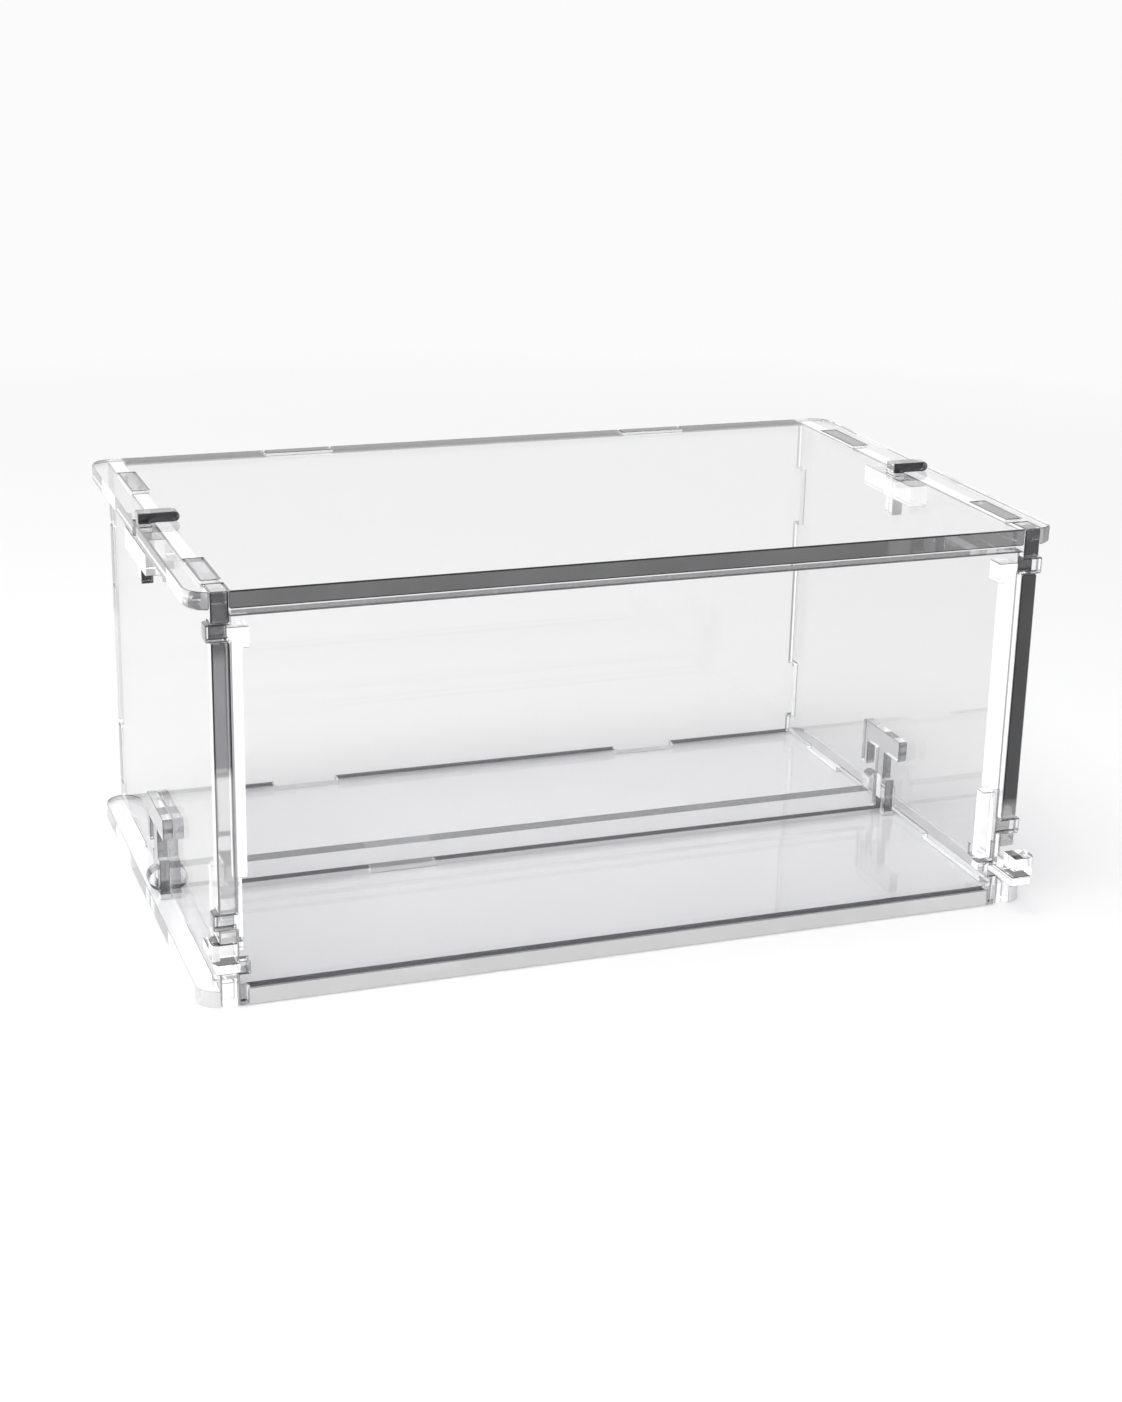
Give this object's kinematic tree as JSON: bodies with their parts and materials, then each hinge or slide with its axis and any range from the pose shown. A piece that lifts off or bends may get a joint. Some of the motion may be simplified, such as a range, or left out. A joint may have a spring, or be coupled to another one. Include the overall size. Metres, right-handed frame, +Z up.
{
  "type": "clear acrylic storage box with lift-off lid",
  "caption": "Clear flat-pack acrylic storage box with tabbed walls, a lift-off lid, slotted corner bolts and small push-in keys.",
  "frame": {"origin": "centre of the base plate's underside", "axes": "+X to the right along the long side, +Y to the back, +Z up"},
  "size_m": [0.26, 0.168, 0.123],
  "materials": {
    "clear_sheet": "clear polished cast acrylic sheet",
    "clear_fitting": "clear cut acrylic fitting"
  },
  "bodies": {
    "case": {"base_plate": "clear_sheet", "side_panel_left": "clear_sheet", "side_panel_right": "clear_sheet", "back_panel": "clear_sheet", "front_panel": "clear_sheet", "floor_rail": "clear_sheet", "lid_catch_left": "clear_fitting", "lid_catch_right": "clear_fitting", "front_stop_left": "clear_fitting", "front_stop_right": "clear_fitting"},
    "lid": {"lid_plate": "clear_sheet"},
    "left_lid_key": {"lid_key_left": "clear_fitting"},
    "right_lid_key": {"lid_key_right": "clear_fitting"},
    "left_rail_key": {"rail_key_left": "clear_fitting"},
    "right_rail_key": {"rail_key_right": "clear_fitting"},
    "left_bolt": {"bolt_arm_left": "clear_fitting", "bolt_post_left": "clear_fitting", "bolt_knob_left": "clear_fitting"},
    "right_bolt": {"bolt_arm_right": "clear_fitting", "bolt_post_right": "clear_fitting", "bolt_knob_right": "clear_fitting"}
  },
  "joints": [
    {"name": "lid_lift", "type": "slide", "parent": "case", "child": "lid", "axis": [0, 0, 1], "range_m": [0, 0.045]},
    {"name": "left_lid_key_pull", "type": "slide", "parent": "lid", "child": "left_lid_key", "axis": [0, 0, 1], "range_m": [0, 0.022]},
    {"name": "right_lid_key_pull", "type": "slide", "parent": "lid", "child": "right_lid_key", "axis": [0, 0, 1], "range_m": [0, 0.022]},
    {"name": "left_rail_key_pull", "type": "slide", "parent": "case", "child": "left_rail_key", "axis": [0, 0, 1], "range_m": [0, 0.025]},
    {"name": "right_rail_key_pull", "type": "slide", "parent": "case", "child": "right_rail_key", "axis": [0, 0, 1], "range_m": [0, 0.025]},
    {"name": "left_bolt_slide", "type": "slide", "parent": "case", "child": "left_bolt", "axis": [0, -1, 0], "range_m": [0, 0.01]},
    {"name": "right_bolt_slide", "type": "slide", "parent": "case", "child": "right_bolt", "axis": [0, -1, 0], "range_m": [-0.01, 0]}
  ]
}
